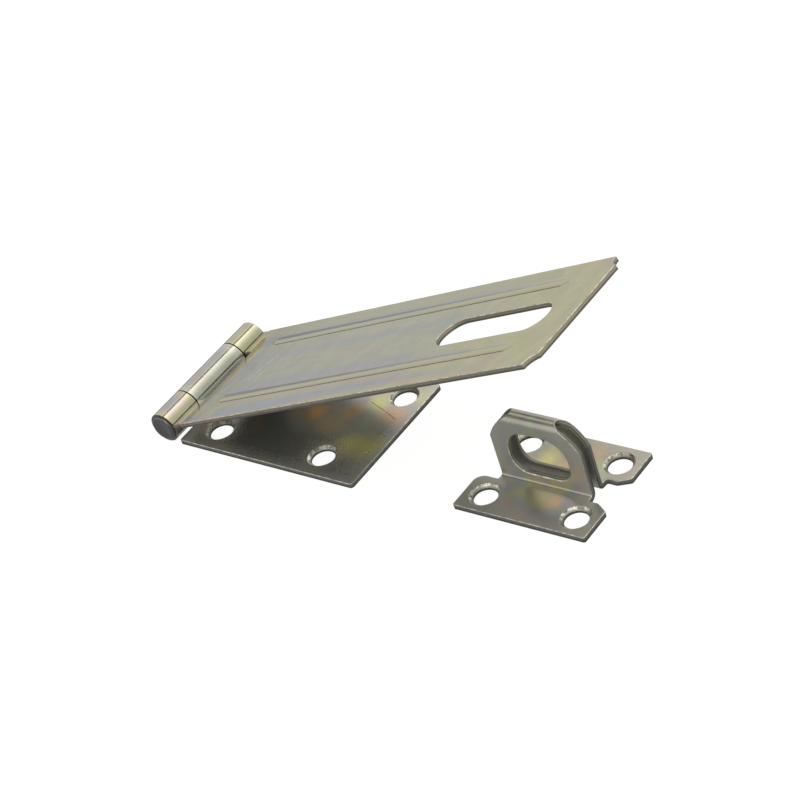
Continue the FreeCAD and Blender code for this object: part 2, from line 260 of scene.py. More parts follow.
class Blank:
    """A flat sheet with edge sections round its outline and holes, ready to be folded."""

    def __init__(self, sheet, step):
        self.sheet = sheet
        self.step = step
        self.loops = []

    def edge(self, outline, section):
        """Add the outline, or one hole, with the section its edge follows."""
        points = spaced(outline, self.step)
        x, y = points[:, 0], points[:, 1]
        if not self.loops and np.sum(x * np.roll(y, -1) - y * np.roll(x, -1)) < 0:
            points = points[::-1]
        self.loops.append((points, section))

    def inner_points(self, grid):
        """Grid points that lie on the sheet, clear of every rim."""
        rims = [points + inward(points) * section[0][0] for points, section in self.loops]
        keep = inside(grid, rims[0])
        for rim in rims[1:]:
            keep &= ~inside(grid, rim)
        grid = grid[keep]
        tree = rim_tree(rims)
        gap = np.array([tree.find((x, y, 0))[2] for x, y in grid])
        return grid[gap > self.step * 0.45]

    def fill(self, rims, grid):
        """Triangles across one face, between its rims and a grid of inner points."""
        points = np.concatenate([*rims, grid])
        edges = []
        start = 0
        for rim in rims:
            count = len(rim)
            edges += [(start + k, start + (k + 1) % count) for k in range(count)]
            start += count
        found = geometry.delaunay_2d_cdt([Vector(p) for p in points], edges, [], 0, 1e-7)
        placed = np.array([tuple(v) for v in found[0]])
        faces = np.array(found[2])
        middle = placed[faces].mean(1)
        side_a = placed[faces[:, 1]] - placed[faces[:, 0]]
        side_b = placed[faces[:, 2]] - placed[faces[:, 0]]
        doubled = np.abs(side_a[:, 0] * side_b[:, 1] - side_a[:, 1] * side_b[:, 0])
        keep = (doubled > SLIVER) & inside(middle, rims[0])
        for rim in rims[1:]:
            keep &= ~inside(middle, rim)
        source = [group[0] for group in found[3]]
        return np.array(source)[faces[keep]]

    def walls(self):
        """Rings of points down every edge section, and the quads between them."""
        rings = []
        cuts = []
        bores = []
        faces = []
        rims = ([], [])
        first = 0
        for points, section in self.loops:
            normal = inward(points)
            count = len(points)
            for inset, depth in section:
                rings.append(np.column_stack([points + normal * inset, np.full(count, -depth)]))
                on_wall = inset < 0.05 and 0.12 < depth < self.sheet - 0.01
                on_cone = inset >= 0.05 and 0.02 < depth < self.sheet - 0.4
                cuts.append(np.full(count, float(on_wall)))
                bores.append(np.full(count, float(on_cone)))
            for k in range(len(section) - 1):
                for j in range(count):
                    a = first + k * count + j
                    b = first + k * count + (j + 1) % count
                    faces.append((a, a + count, b + count, b))
            last = first + (len(section) - 1) * count
            rims[0].append((first, points + normal * section[0][0]))
            rims[1].append((last, points + normal * section[-1][0]))
            first = last + count
        return rings, cuts, bores, faces, rims

    def build(self, name, grid, height, fold, film_loops):
        """Mesh object of the whole piece. Height lifts both faces; fold bends the blank.

        The plating follows the first few loops, as many as film_loops says. Fold is given
        each point's height above the middle of the sheet."""
        flat, cuts, bores, faces, rims = self.walls()
        inner = self.inner_points(grid)
        start = sum(len(ring) for ring in flat)
        for ends, depth, flip in ((rims[0], 0.0, False), (rims[1], -self.sheet, True)):
            triangles = self.fill([rim for _, rim in ends], inner)
            lookup = np.concatenate([first + np.arange(len(rim)) for first, rim in ends]
                                    + [start + np.arange(len(inner))])
            flat.append(np.column_stack([inner, np.full(len(inner), depth)]))
            cuts.append(np.zeros(len(inner)))
            bores.append(np.zeros(len(inner)))
            start += len(inner)
            order = triangles[:, ::-1] if flip else triangles
            faces += lookup[order].tolist()
        flat = np.concatenate(flat)
        lift = height(flat[:, 0], flat[:, 1])
        shaped = fold(flat[:, 0], flat[:, 1], flat[:, 2] + self.sheet / 2, lift)
        mesh = bpy.data.meshes.new(name)
        mesh.from_pydata((shaped * MM).tolist(), [], faces)
        tree = rim_tree([points for points, _ in self.loops[:film_loops]])
        rim = [tree.find((x, y, 0))[2] for x, y, _ in flat]
        give(mesh, "cut", np.concatenate(cuts))
        give(mesh, "bored", np.concatenate(bores))
        give(mesh, "rim", rim)
        give(mesh, "blank", flat, "FLOAT_VECTOR")
        mesh.validate()
        mesh.shade_smooth()
        mesh.set_sharp_from_angle(angle=SHEET_CREASE)
        piece = bpy.data.objects.new(name, mesh)
        bpy.context.scene.collection.objects.link(piece)
        return piece


def rim_tree(rims):
    """Search tree over the points of several outlines."""
    points = np.concatenate(rims)
    tree = kdtree.KDTree(len(points))
    for index, (x, y) in enumerate(points):
        tree.insert((x, y, 0), index)
    tree.balance()
    return tree


def give(mesh, name, values, kind="FLOAT"):
    """Store one value or vector per vertex for the material to read."""
    attribute = mesh.attributes.new(name, kind, "POINT")
    field = "vector" if kind == "FLOAT_VECTOR" else "value"
    attribute.data.foreach_set(field, np.asarray(values, np.float32).ravel())


def grid_points(x_values, y_values):
    x, y = np.meshgrid(x_values, y_values)
    return np.column_stack([x.ravel(), y.ravel()])


def no_height(x, y):
    return np.zeros(len(x))


# ---------------------------------------------------------------- base leaf

def leaf_fold(x, y, up, lift):
    """Flat behind the pin; rolled up and over it in front."""
    angle = math.radians(270) + np.minimum(x, 0) / ROLL_R
    radius = ROLL_R - up
    rolled = x < 0
    out_x = np.where(rolled, radius * np.cos(angle), x)
    out_z = np.where(rolled, AXIS_Z + radius * np.sin(angle), SHEET / 2 + up)
    return np.column_stack([out_x + AXIS_X, y, out_z])


def make_leaf():
    curl = -ROLL_R * LEAF_CURL
    blank = Blank(SHEET, HINGE_STEP)
    corners = [(LEAF_END, -HALF_WIDTH, 1.0), (LEAF_END, HALF_WIDTH, 1.0),
               (LEAF_CUTBACK, HALF_WIDTH, 0.6), (LEAF_CUTBACK, MID_Y1, 0.4), (curl, MID_Y1, 0.0),
               (curl, MID_Y0, 0.0), (LEAF_CUTBACK, MID_Y0, 0.4), (LEAF_CUTBACK, -HALF_WIDTH, 0.6)]
    blank.edge(rounded(corners), sheared_edge(SHEET))
    for mount in ("leaf_screws_front", "leaf_screws_back"):
        x, y, _ = to_mm(MOUNTS[mount]["pos_m"])
        half = MOUNTS[mount]["dims"]["spacing_x_mm"] / 2
        for side in (-1, 1):
            hole = circle(x + side * half - AXIS_X, y, HOLE_R)
            blank.edge(hole, sunk_edge(SHEET, RIM_R - HOLE_R))
    rolled = grid_points(np.arange(curl + 0.3, 0.5, 0.3), np.arange(MID_Y0 + 0.5, MID_Y1, 0.9))
    flat = grid_points(np.arange(0.6, LEAF_END, 0.9), np.arange(-HALF_WIDTH, HALF_WIDTH, 0.9))
    grid = np.concatenate([rolled, flat])
    return blank.build("base_leaf_sheet", grid, no_height, leaf_fold, len(blank.loops))


# ---------------------------------------------------------------- strap

def strap_bend():
    """Radius, centre and angle of the reverse bend that leads the plate under the barrel."""
    middle = PLATE_TOP - SHEET / 2
    start_x = ROLL_R * math.cos(TURN)
    start_z = -ROLL_R * math.sin(TURN)
    heading = math.pi / 2 - TURN
    radius = (middle - start_z) / (1 - math.cos(heading))
    return radius, start_x + radius * math.sin(heading), start_z - radius * math.cos(heading), heading


def strap_fold(x, y, up, lift):
    """Plate, reverse bend and roll, in order from the far end, swung open about the pin."""
    radius, bend_x, bend_z, heading = strap_bend()
    turned = np.clip((bend_x - x) / radius, 0, heading)
    rolled = (bend_x - radius * heading - x) / ROLL_R
    plate_z = PLATE_TOP - SHEET / 2 + up + lift
    bend = math.pi / 2 + turned
    roll = -TURN - np.maximum(rolled, 0)
    local_x = np.where(rolled > 0, (ROLL_R - up) * np.cos(roll),
                       np.where(turned > 0, bend_x + (radius + up) * np.cos(bend), x))
    local_z = np.where(rolled > 0, (ROLL_R - up) * np.sin(roll),
                       np.where(turned > 0, bend_z + (radius + up) * np.sin(bend), plate_z))
    cosine, sine = math.cos(OPEN_ANGLE), math.sin(OPEN_ANGLE)
    return np.column_stack([local_x * cosine - local_z * sine + AXIS_X, y,
                            local_x * sine + local_z * cosine + AXIS_Z])


def rib_height(x, y):
    """Two low pressed ribs with soft sides and ends, softest on the far side."""
    lift = np.zeros(len(x))
    for rib_y in RIB_Y:
        nearest = np.clip(x, RIB_X[0] + RIB_HALF, RIB_X[1] - RIB_HALF)
        from_line = np.maximum(np.hypot(x - nearest, y - rib_y), 1e-6)
        lean = (y - rib_y) / from_line
        step = np.interp(lean, [-1, 0, 1], [RIB_NEAR_STEP, RIB_END_STEP, RIB_FAR_STEP])
        share = np.clip((RIB_HALF - from_line) / step, 0, 1)
        lift += RIB_H * share * share * (3 - 2 * share)
    return lift


def strap_outline():
    bite_x, bite_y, bite_r = BITE
    end = math.degrees(math.acos((bite_x - STRAP_END) / bite_r))
    radius, bend_x, _, heading = strap_bend()
    curl = bend_x - radius * heading - ROLL_R * STRAP_CURL
    near = arc((bite_x, -bite_y), bite_r, 181.4, 180 - end, 0.25)
    far = arc((bite_x, bite_y), bite_r, 180 + end, 178.6, 0.25)
    y0, y1 = MID_Y0 - KNUCKLE_GAP, MID_Y1 + KNUCKLE_GAP
    hinge_side = [(SHOULDER_X, HALF_WIDTH, 0.9), (SHOULDER_X, BARREL_HALF, 0.0), (curl, BARREL_HALF, 0.0),
                  (curl, y1, 0.0), (NOTCH_X, y1, NOTCH_R), (NOTCH_X, y0, NOTCH_R), (curl, y0, 0.0),
                  (curl, -BARREL_HALF, 0.0), (SHOULDER_X, -BARREL_HALF, 0.0),
                  (SHOULDER_X, -HALF_WIDTH, 0.9)]
    corners = [(x, y, 0.0) for x, y in near + far] + hinge_side
    return rounded(corners), curl


def make_strap():
    outline, curl = strap_outline()
    blank = Blank(SHEET, HINGE_STEP)
    blank.edge(outline, sheared_edge(SHEET))
    blank.edge(obround(*SLOT)[:-1], sheared_edge(SHEET))
    rolled = np.arange(curl + 0.3, NOTCH_X, 0.3)
    plate = np.arange(NOTCH_X + 0.4, STRAP_END, 1.3)
    flats = [np.arange(-20.6, RIB_Y[0] - RIB_HALF - 0.4, 1.2),
             np.arange(RIB_Y[0] + RIB_HALF + 0.4, RIB_Y[1] - RIB_HALF - 0.4, 1.2),
             np.arange(RIB_Y[1] + RIB_HALF + 0.4, 20.7, 1.2)]
    over_rib = np.arange(-0.1, 2 * RIB_HALF + 0.2, 0.2)
    ribs = [rib_y - RIB_HALF + over_rib for rib_y in RIB_Y]
    grids = [grid_points(rolled, np.arange(-20.4, 20.6, 0.9)),
             grid_points(plate, np.concatenate(flats + ribs))]
    for rib_y in RIB_Y:
        for end in (RIB_X[0] - 0.2, RIB_X[1] - RIB_HALF):
            along = np.arange(end, end + RIB_HALF + 0.3, 0.15) + 0.03
            across = np.arange(rib_y - RIB_HALF - 0.1, rib_y + RIB_HALF + 0.2, 0.15) + 0.02
            grids.append(grid_points(along, across))
    return blank.build("strap_sheet", np.concatenate(grids), rib_height, strap_fold, 1)


# ---------------------------------------------------------------- staple

MID_R = LOOP_HALF_GAP + STAPLE_SHEET / 2
CROWN = MID_R * math.pi / 2
CROWN_Z = LOOP_TOP - LOOP_HALF_GAP - STAPLE_SHEET
BEND_R = FOLD_R + STAPLE_SHEET / 2
FOOT_Z = FOLD_R + STAPLE_SHEET
FOOT_Y = LOOP_HALF_GAP + STAPLE_SHEET + FOLD_R
WALL_END = CROWN + CROWN_Z - FOOT_Z
FLAT_START = WALL_END + BEND_R * math.pi / 2


def wall_place(z):
    """Distance along the blank, from the middle of the crown, to a height on the wall."""
    return CROWN + CROWN_Z - z


def flange_place(y):
    return FLAT_START + y - FOOT_Y


def staple_fold(x, s, up, lift):
    """Crown, walls, bends and flanges, in order outwards from the middle of the blank."""
    side = np.where(s < 0, -1.0, 1.0)
    far = np.abs(s)
    over = math.pi / 2 - np.minimum(far, CROWN) / MID_R
    foot = np.clip((far - WALL_END) / BEND_R, 0, math.pi / 2)
    on_crown = far < CROWN
    on_wall = far < WALL_END
    on_foot = far < FLAT_START
    y = np.select([on_crown, on_wall, on_foot],
                  [(MID_R + up) * np.cos(over), MID_R + up + 0 * far,
                   FOOT_Y - (BEND_R - up) * np.cos(foot)],
                  far - FLAT_START + FOOT_Y)
    z = np.select([on_crown, on_wall, on_foot],
                  [CROWN_Z + (MID_R + up) * np.sin(over), CROWN_Z - (far - CROWN),
                   FOOT_Z - (BEND_R - up) * np.sin(foot)],
                  STAPLE_SHEET / 2 + up)
    return np.column_stack([x + STAPLE_X, side * y + STAPLE_Y, z])


def loop_half_x(z):
    """Half width of the loop at a height: upright sides, then arcs in to the flat top."""
    low = Vector((LOOP_HALF_X, LOOP_SHOULDER))
    high = Vector((LOOP_FLAT_X, LOOP_TOP))
    bulge = Vector(LOOP_BULGE)
    chord = (high - low).length
    sag = abs((bulge - low).cross(high - low)) / chord
    radius = (chord * chord / 4 + sag * sag) / (2 * sag)
    towards = Vector((low.y - high.y, high.x - low.x)).normalized()
    middle = (low + high) / 2
    if (middle + towards).x > middle.x:
        towards = -towards
    centre = middle + towards * (radius - sag)
    if z <= LOOP_SHOULDER:
        return LOOP_HALF_X
    return centre.x + math.sqrt(max(radius * radius - (z - centre.y) ** 2, 0.0))


def staple_outline():
    quarter = [(0.0, LOOP_FLAT_X)]
    for k in range(1, 9):
        angle = math.pi / 2 * (1 - k / 8)
        height = CROWN_Z + (MID_R + STAPLE_SHEET / 2) * math.sin(angle)
        quarter.append((CROWN * k / 8, loop_half_x(height)))
    for k in range(1, 15):
        z = CROWN_Z + (LOOP_SHOULDER - CROWN_Z) * k / 14
        quarter.append((wall_place(z), loop_half_x(z)))
    neck = flange_place(FLANGE_BACK)
    edge = flange_place(FLANGE_EDGE)
    clip_x, clip_y, clip_r = FLANGE_CLIP
    loop = [(x, s, 0.0) for s, x in quarter] + [(LOOP_HALF_X, neck, 0.5)]
    right = loop + [(FLANGE_HALF_X - clip_x, neck, clip_r), (FLANGE_HALF_X, neck + clip_y, clip_r),
                    (FLANGE_HALF_X, edge, 0.6)]
    left = loop + [(FLANGE_HALF_X, neck, FLANGE_BACK_R), (FLANGE_HALF_X, edge, 0.6)]
    left_far = [(-x, s, r) for x, s, r in reversed(left)]
    left_near = [(-x, -s, r) for x, s, r in left[1:]]
    right_near = [(x, -s, r) for x, s, r in reversed(right[1:])]
    return rounded(right + left_far + left_near + right_near)


def eye_outline(side):
    """Padlock eye in one wall, wider and rounder at the top, run clockwise."""
    low, high = wall_place(EYE_Z[0]), wall_place(EYE_Z[1])
    corners = [(-EYE_HALF_X, low, EYE_R[0]), (EYE_HALF_X, low, EYE_R[0]),
               (EYE_HALF_X, high, EYE_R[1]), (-EYE_HALF_X, high, EYE_R[1])]
    points = rounded(corners)
    if side < 0:
        points = [(x, -s) for x, s in reversed(points)]
    return points


def make_staple():
    blank = Blank(STAPLE_SHEET, STAPLE_STEP)
    blank.edge(staple_outline(), sheared_edge(STAPLE_SHEET))
    for side in (-1, 1):
        blank.edge(eye_outline(side), sunk_edge(STAPLE_SHEET, EYE_LIP))
    half_x = MOUNTS["staple_screws"]["dims"]["spacing_x_mm"] / 2
    half_y = MOUNTS["staple_screws"]["dims"]["spacing_y_mm"] / 2
    for x in (-half_x, half_x):
        for side in (-1, 1):
            hole = circle(x, side * flange_place(half_y), HOLE_R)
            blank.edge(hole, sunk_edge(STAPLE_SHEET, RIM_R - HOLE_R))
    edge = flange_place(FLANGE_EDGE)
    half = np.concatenate([np.arange(0.15, CROWN, 0.25), np.arange(CROWN + 0.3, WALL_END, 0.6),
                           np.arange(WALL_END, FLAT_START, 0.2), np.arange(FLAT_START + 0.3, edge, 0.6)])
    grid = grid_points(np.arange(-19.7, 20.0, 0.6), np.concatenate([-half, half]))
    return blank.build("staple_sheet", grid, no_height, staple_fold, 1)


# ---------------------------------------------------------------- hinge pin

def pin_profile():
    """Half section of the pin from its near face: head, bevel, shank and far head."""
    head_r = (PIN_HIGH[2] - PIN_LOW[2]) / 2
    shank_r = BORE_R - 0.05
    near, far = PIN_LOW[1], PIN_HIGH[1]
    collar = BARREL_HALF + 0.05
    near_half = [(0.0, near + 0.12), (head_r * 0.62, near + 0.12), (head_r * 0.70, near),
                 (head_r - 0.55, near), (head_r - 0.42, near + 0.04), (head_r - 0.04, near + 0.36),
                 (head_r, near + 0.42), (head_r - 0.01, -collar), (shank_r, -collar)]
    far_half = [(radius, far + near - y) for radius, y in reversed(near_half)]
    return near_half + far_half


def make_pin():
    """The profile turned about the pin's axis."""
    profile = pin_profile()
    points = []
    faces = []
    for radius, y in profile:
        for k in range(PIN_SIDES):
            turn = 2 * math.pi * k / PIN_SIDES
            points.append((AXIS_X + radius * math.cos(turn), y, AXIS_Z + radius * math.sin(turn)))
    rings = len(profile)
    for ring in range(rings - 1):
        for k in range(PIN_SIDES):
            a = ring * PIN_SIDES + k
            b = ring * PIN_SIDES + (k + 1) % PIN_SIDES
            faces.append((a, b, b + PIN_SIDES, a + PIN_SIDES))
    mesh = bpy.data.meshes.new("hinge_pin_turned")
    mesh.from_pydata([tuple(value * MM for value in p) for p in points], [], faces)
    work = bmesh.new()
    work.from_mesh(mesh)
    bmesh.ops.remove_doubles(work, verts=work.verts, dist=1e-7)
    bmesh.ops.recalc_face_normals(work, faces=work.faces)
    work.to_mesh(mesh)
    work.free()
    give(mesh, "blank", [tuple(v.co / MM) for v in mesh.vertices], "FLOAT_VECTOR")
    mesh.shade_smooth()
    mesh.set_sharp_from_angle(angle=PIN_CREASE)
    piece = bpy.data.objects.new("hinge_pin_turned", mesh)
    bpy.context.scene.collection.objects.link(piece)
    return piece


# ---------------------------------------------------------------- materials

class Nodes:
    """Small helper to write shader node trees line by line."""

    def __init__(self, tree):
        self.tree = tree
        tree.nodes.clear()

    def add(self, kind, **settings):
        node = self.tree.nodes.new(kind)
        for name, value in settings.items():
            setattr(node, name, value)
        return node

    def link(self, source, target):
        self.tree.links.new(source, target)

    def put(self, value, socket):
        if isinstance(value, bpy.types.NodeSocket):
            self.link(value, socket)
        else:
            socket.default_value = value

    def attribute(self, name, output="Fac"):
        return self.add("ShaderNodeAttribute", attribute_name=name).outputs[output]

    def split(self, vector):
        node = self.add("ShaderNodeSeparateXYZ")
        self.link(vector, node.inputs[0])
        return node.outputs

    def math(self, operation, a, b=0.0):
        node = self.add("ShaderNodeMath", operation=operation)
        self.put(a, node.inputs[0])
        self.put(b, node.inputs[1])
        return node.outputs[0]

    def times(self, a, b):
        return self.math("MULTIPLY", a, b)

    def plus(self, a, b):
        return self.math("ADD", a, b)

    def vector(self, operation, a, b):
        """Vector arithmetic; all but a subtraction give a plain number."""
        node = self.add("ShaderNodeVectorMath", operation=operation)
        self.put(a, node.inputs[0])
        self.put(b, node.inputs[1])
        return node.outputs["Vector" if operation == "SUBTRACT" else "Value"]

    def noise(self, vector, scale, detail=3.0, rough=0.55, stretch=(1, 1, 1), distort=0.0):
        mapping = self.add("ShaderNodeMapping")
        mapping.inputs["Scale"].default_value = stretch
        self.link(vector, mapping.inputs["Vector"])
        node = self.add("ShaderNodeTexNoise")
        node.inputs["Scale"].default_value = scale
        node.inputs["Detail"].default_value = detail
        node.inputs["Roughness"].default_value = rough
        node.inputs["Distortion"].default_value = distort
        self.link(mapping.outputs[0], node.inputs["Vector"])
        return node.outputs["Fac"]

    def bump(self, height, strength, distance, normal=None):
        node = self.add("ShaderNodeBump")
        node.inputs["Strength"].default_value = strength
        node.inputs["Distance"].default_value = distance
        self.link(height, node.inputs["Height"])
        if normal is not None:
            self.link(normal, node.inputs["Normal"])
        return node.outputs[0]

    def ramp(self, value, stops, interpolation="LINEAR"):
        node = self.add("ShaderNodeValToRGB")
        node.color_ramp.interpolation = interpolation
        elements = node.color_ramp.elements
        while len(elements) < len(stops):
            elements.new(0.5)
        for element, (place, color) in zip(elements, stops):
            element.position = place
            element.color = (*color, 1.0)
        self.link(value, node.inputs[0])
        return node.outputs[0]

    def mix(self, factor, a, b, blend="MIX"):
        node = self.add("ShaderNodeMix", data_type="RGBA", blend_type=blend)
        self.put(factor, node.inputs[0])
        self.put(a, node.inputs[6])
        self.put(b, node.inputs[7])
        return node.outputs[2]

    def remap(self, value, low, high, to_low=0.0, to_high=1.0):
        node = self.add("ShaderNodeMapRange")
        self.put(value, node.inputs[0])
        for index, number in enumerate((low, high, to_low, to_high)):
            node.inputs[index + 1].default_value = number
        return node.outputs[0]


class Skin(Nodes):
    """Nodes of one piece's material, with its place on the blank and its edges to hand."""

    def __init__(self, tree):
        super().__init__(tree)
        self.place = self.attribute("blank", "Vector")
        axes = self.split(self.place)
        self.x, self.z = axes["X"], axes["Z"]
        self.rim = self.attribute("rim")
        self.cut = self.attribute("cut")
        self.bored = self.attribute("bored")


def grey(value):
    return (value, value, value)


# Colours of the plating, in the order they follow each other inwards from an edge
OLIVE = (0.46, 0.465, 0.335)
YELLOW = (0.54, 0.51, 0.29)
PINK = (0.53, 0.41, 0.37)
LILAC = (0.42, 0.385, 0.44)
BLUE = (0.365, 0.41, 0.465)
GREEN = (0.40, 0.475, 0.32)
FILM = [(0.0, OLIVE), (0.16, YELLOW), (0.34, PINK), (0.44, LILAC), (0.56, BLUE), (0.70, GREEN),
        (0.86, YELLOW), (1.0, OLIVE)]

# Metal under the film, and deeper colours of painted reflection, where coloured metal reflects coloured
# metal
GREY = (0.445, 0.452, 0.405)
COOL = (0.42, 0.43, 0.45)
AMBER = (0.88, 0.52, 0.24)
BROWN = (0.58, 0.47, 0.36)
MOSS = (0.46, 0.54, 0.34)
LIME = (0.72, 0.70, 0.28)
ROSE = (0.68, 0.46, 0.30)
PAINTED_REFLECTION_FILM = [(0.0, COOL), (0.34, COOL), (0.48, BROWN), (0.62, COOL), (0.80, COOL), (0.90, GREY),
             (1.0, COOL)]

# Other tones of the metal, and tones of painted light and shade
WARM = (0.57, 0.55, 0.33)
PALE = (0.60, 0.61, 0.61)
# Painted shade, laid as dark patches on the staple's flanges
SHADE_OLIVE = (0.34, 0.33, 0.24)
SHADE_GREY = (0.33, 0.33, 0.315)
# Painted light on the near slope and crest of each rib, and painted shade at its far foot
RIB_CREST_PAINTED_LIGHT = (0.56, 0.53, 0.35)
RIB_FOOT_PAINTED_SHADE = (0.40, 0.42, 0.445)
# Bare metal on the very edges, which also serves as a painted glint there
BARE_METAL_AND_GLINT = (0.78, 0.77, 0.72)
FROSTED = (0.72, 0.72, 0.70)
SPECK = (0.20, 0.19, 0.17)

# Tone of a cut wall by depth: rolled top, burnished band, light stripe and torn band
SHEARED = [(0.10, (0.34, 0.335, 0.315)), (0.34, (0.16, 0.157, 0.147)), (0.48, (0.34, 0.33, 0.305)),
           (0.60, (0.14, 0.136, 0.126)), (1.0, (0.11, 0.107, 0.10))]

# Tone of a countersink by how far the tool chattered
TURNED = [(0.36, (0.20, 0.195, 0.18)), (0.50, (0.50, 0.49, 0.455)), (0.62, (0.88, 0.87, 0.83))]

# Blends out of the rolled part, as start and end x on the blank
ROLL_END = 2.0
FILM_BLEND = (ROLL_END, 10.0)
TINT_BLEND = (ROLL_END, 9.0)
ROUGHNESS_BLEND = (ROLL_END, 6.0)

# Blends by distance from an edge, and by height below the upper face
INNER_FILM = (3.0, 9.0)
WEAR_AND_GLINT_BAND = (0.42, 0.25)
FROST_BAND = (4.5, 0.8)
UPPER_FACE = (-0.5, -0.2)
STREAK_FADE = 1.0

METALLIC = 0.88
SPECK_STRENGTH = 0.35
CUT_ROUGHNESS = 0.2
FROST_ROUGHNESS = 0.35
MARK_ROUGHNESS = 0.3

# The settings of a look. A blend along the blank is (start x, end x, most).
ZINC = {
    "sheet": SHEET,              # thickness that the cut walls' bands are spread over
    "ground": GREY,              # colour of the metal under the film
    "tint": 1.0,                 # brightness of the flat part
    "rolled_tint": 1.0,          # brightness of the rolled part
    "roughness": 0.12,
    "flat_roughness": 0.0,       # added on the flat part
    "bands": 0.11,               # rounds of the film's colours per millimetre in from an edge
    "drift": 0.035,              # scale of the slow noise that shifts the bands
    "stretch": (0.35, 1, 1),     # stretch of that noise along each axis of the blank
    "wander": 1.0,               # how far it shifts them
    "lean": (0.0, 0.0, 0.0),     # steady shift of the bands per millimetre of the blank
    "edge_colour": 0.9,          # strength of the film at an edge
    "middle_colour": 0.35,       # strength of the film away from the edges
    "rolled_colour": 1.0,        # share of that strength left on the rolled part
    "warm": (60.0, 140.0, 0.0),  # blend to a warm yellow
    "deep": (0.0, 1.0, 0.0),     # blend to the deeper colours of painted reflection
    "frost": 0.0,                # strength of the speckled margin along the edges
    "worn": 0.25,                # strength of the bare metal on the very edge, which is also a painted glint
    "cut_tint": grey(1.0),       # colour of the cut walls
    "patches": [],               # (x, y, radius, tone, strength)
    "strips": [],                # (start x, end x, y, half width, tone, strength)
    "marks": [],                 # (start, end, half width, brightness, share that is broken)
}


def streak(skin, start, end, width):
    """Mask of a straight streak between two points of the blank."""
    start, end = Vector((*start, 0.0)), Vector((*end, 0.0))
    length = (end - start).length
    along = (end - start) / length
    offset = skin.vector("SUBTRACT", skin.place, start)
    run = skin.vector("DOT_PRODUCT", offset, along)
    off = skin.vector("DOT_PRODUCT", offset, Vector((-along.y, along.x, 0.0)))
    thin = skin.remap(skin.math("ABSOLUTE", off), width, width * 0.4)
    fade_in = skin.remap(run, 0.0, STREAK_FADE)
    fade_out = skin.remap(run, length, length - STREAK_FADE)
    return skin.times(thin, skin.times(fade_in, fade_out))


def film(skin, look):
    """Colour of the plating film: bands that follow the edges, and slow drifting patches, with blends and
    patches of painted reflection and painted shade mixed in.
    """
    drift = skin.noise(skin.place, look["drift"], 2.0, 0.5, look["stretch"], 0.5)
    small = skin.noise(skin.place, look["drift"] * 4.0, 2.0, 0.5, look["stretch"], 0.3)
    phase = skin.times(skin.rim, look["bands"])
    for source, share in ((drift, 0.5), (small, 0.1)):
        reach = share * look["wander"]
        phase = skin.plus(phase, skin.remap(source, 0.0, 1.0, -reach, reach))
    phase = skin.plus(phase, skin.vector("DOT_PRODUCT", skin.place, look["lean"]))
    amount = skin.remap(skin.rim, *INNER_FILM, look["edge_colour"], look["middle_colour"])
    amount = skin.times(amount, skin.remap(skin.x, *FILM_BLEND, look["rolled_colour"], 1.0))
    bands = skin.ramp(skin.math("FRACT", phase), FILM)
    colour = skin.mix(amount, (*look["ground"], 1), bands)
    # Painted reflection: the deeper colours where coloured metal reflects coloured metal
    deep = skin.ramp(skin.math("PINGPONG", phase, 1.0), PAINTED_REFLECTION_FILM, "EASE")
    for tone, (start, end, most) in ((deep, look["deep"]), ((*WARM, 1), look["warm"])):
        colour = skin.mix(skin.remap(skin.x, start, end, 0.0, most), colour, tone)
    ragged = skin.remap(small, 0.3, 0.7, 0.75, 1.25)
    for x, y, radius, tone, strength in look["patches"]:
        reach = skin.times(skin.vector("DISTANCE", skin.place, Vector((x, y, 0.0))), ragged)
        mask = skin.remap(reach, radius, radius * 0.25, 0.0, strength)
        colour = skin.mix(mask, colour, (*tone, 1))
    return colour


def tinted(skin, colour, look):
    """The film's colour with cloudy stains and strips, some strips painted light and shade on the ribs,
    toned down to the piece's own brightness.
    """
    cloud = skin.noise(skin.place, 0.16, 4.0, 0.6)
    stain = skin.ramp(cloud, [(0.3, grey(0.93)), (0.7, grey(1.05))], "EASE")
    colour = skin.mix(1.0, colour, stain, "MULTIPLY")
    for start, end, y, width, tone, strength in look["strips"]:
        mask = skin.times(streak(skin, (start, y), (end, y), width), strength)
        colour = skin.mix(mask, colour, (*tone, 1))
    tint = skin.add("ShaderNodeCombineColor")
    brightness = skin.remap(skin.x, *TINT_BLEND, look["rolled_tint"], look["tint"])
    for channel in range(3):
        skin.link(brightness, tint.inputs[channel])
    return skin.mix(1.0, colour, tint.outputs[0], "MULTIPLY")


def margins(skin, colour, look):
    """Bare metal on the very edge, where the plating wears through, which also serves as a painted glint,
    and a speckled frost along it. Also gives the frost.
    """
    wear_and_glint_gaps = skin.remap(skin.noise(skin.place, 0.35, 4.0, 0.65), 0.45, 0.65)
    # Bright edge band: bare metal where the plating wears, and a painted glint
    worn = skin.times(skin.remap(skin.rim, *WEAR_AND_GLINT_BAND), wear_and_glint_gaps)
    colour = skin.mix(skin.times(worn, look["worn"]), colour, (*BARE_METAL_AND_GLINT, 1))
    speckle = skin.remap(skin.noise(skin.place, 2.2, 3.0, 0.7), 0.42, 0.64, 0.3, 1.0)
    frost = skin.times(skin.times(skin.remap(skin.rim, *FROST_BAND), speckle), look["frost"])
    return skin.mix(frost, colour, (*FROSTED, 1)), frost


